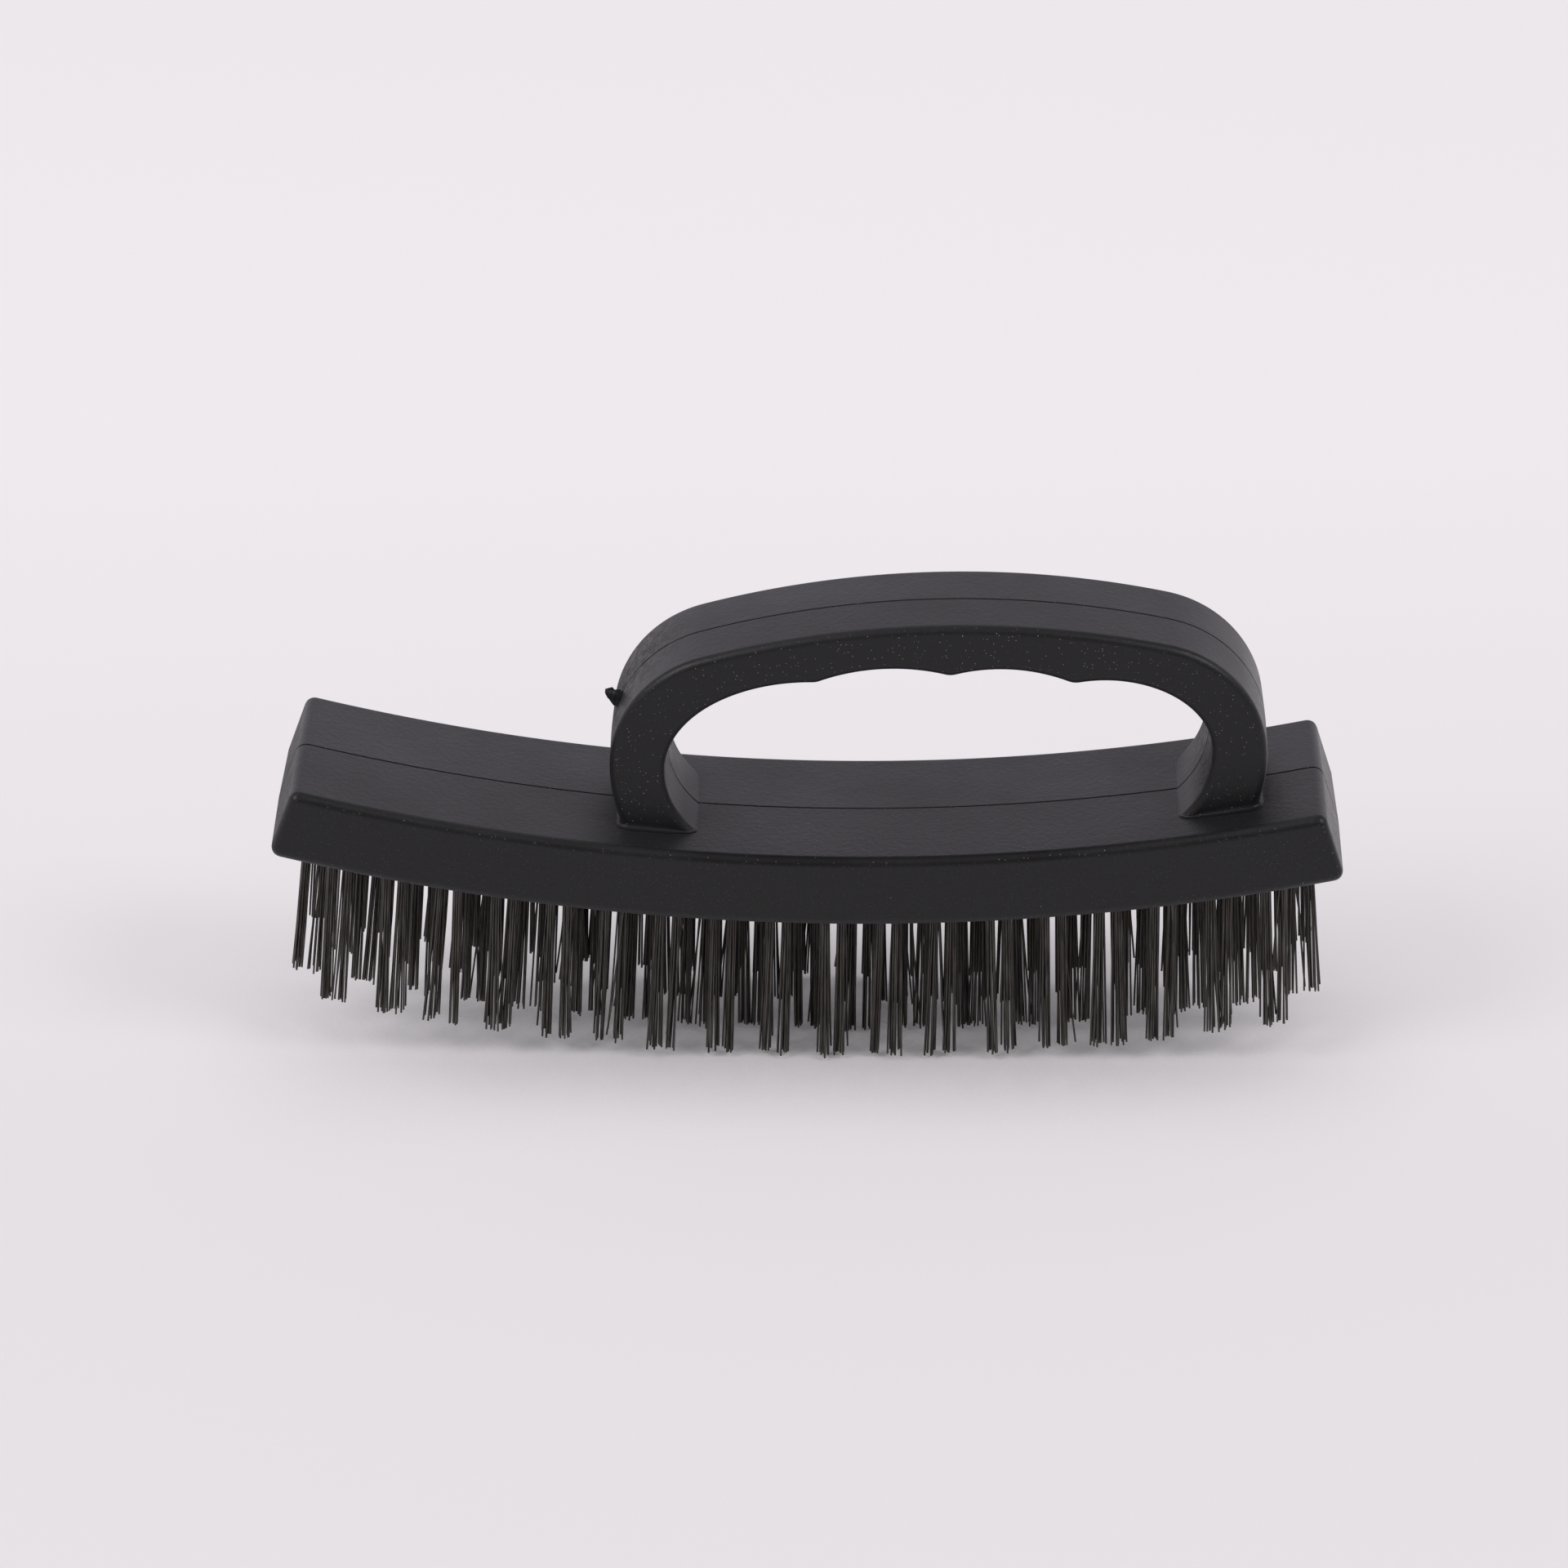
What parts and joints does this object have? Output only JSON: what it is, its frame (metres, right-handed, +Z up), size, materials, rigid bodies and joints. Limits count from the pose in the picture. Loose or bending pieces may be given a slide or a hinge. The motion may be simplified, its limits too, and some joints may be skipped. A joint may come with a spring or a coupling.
{
  "type": "wire brush",
  "caption": "Hand wire brush with a curved moulded block, a D-shaped grip with finger grooves, and staggered rows of folded steel wire tufts.",
  "frame": {"origin": "centre of the bounding box in plan, on the floor that the wire tips stand on", "axes": "+X along the block, towards the end that the grip is nearer to; +Y across the block; +Z up"},
  "size_m": [0.2034, 0.0432, 0.0907],
  "materials": {
    "body_plastic": "black polypropylene, satin with a fine moulded grain",
    "tuft_wire": "dark oiled carbon steel wire"
  },
  "bodies": {
    "root": {"body": "body_plastic", "tuft_row1_01": "tuft_wire", "tuft_row1_02": "tuft_wire", "tuft_row1_03": "tuft_wire", "tuft_row1_04": "tuft_wire", "tuft_row1_05": "tuft_wire", "tuft_row1_06": "tuft_wire", "tuft_row1_07": "tuft_wire", "tuft_row1_08": "tuft_wire", "tuft_row1_09": "tuft_wire", "tuft_row1_10": "tuft_wire", "tuft_row1_11": "tuft_wire", "tuft_row1_12": "tuft_wire", "tuft_row1_13": "tuft_wire", "tuft_row1_14": "tuft_wire", "tuft_row1_15": "tuft_wire", "tuft_row1_16": "tuft_wire", "tuft_row1_17": "tuft_wire", "tuft_row1_18": "tuft_wire", "tuft_pair_row2_row3_01": "tuft_wire", "tuft_pair_row2_row3_02": "tuft_wire", "tuft_pair_row2_row3_03": "tuft_wire", "tuft_pair_row2_row3_04": "tuft_wire", "tuft_pair_row2_row3_05": "tuft_wire", "tuft_pair_row2_row3_06": "tuft_wire", "tuft_pair_row2_row3_07": "tuft_wire", "tuft_pair_row2_row3_08": "tuft_wire", "tuft_pair_row2_row3_09": "tuft_wire", "tuft_pair_row2_row3_10": "tuft_wire", "tuft_pair_row2_row3_11": "tuft_wire", "tuft_pair_row2_row3_12": "tuft_wire", "tuft_pair_row2_row3_13": "tuft_wire", "tuft_pair_row2_row3_14": "tuft_wire", "tuft_pair_row2_row3_15": "tuft_wire", "tuft_pair_row2_row3_16": "tuft_wire", "tuft_pair_row2_row3_17": "tuft_wire", "tuft_pair_row2_row3_18": "tuft_wire", "tuft_row2_19": "tuft_wire", "tuft_row4_01": "tuft_wire", "tuft_row4_02": "tuft_wire", "tuft_row4_03": "tuft_wire", "tuft_row4_04": "tuft_wire", "tuft_row4_05": "tuft_wire", "tuft_row4_06": "tuft_wire", "tuft_row4_07": "tuft_wire", "tuft_row4_08": "tuft_wire", "tuft_row4_09": "tuft_wire", "tuft_row4_10": "tuft_wire", "tuft_row4_11": "tuft_wire", "tuft_row4_12": "tuft_wire", "tuft_row4_13": "tuft_wire", "tuft_row4_14": "tuft_wire", "tuft_row4_15": "tuft_wire", "tuft_row4_16": "tuft_wire", "tuft_row4_17": "tuft_wire", "tuft_row4_18": "tuft_wire", "tuft_row4_19": "tuft_wire"}
  },
  "joints": []
}
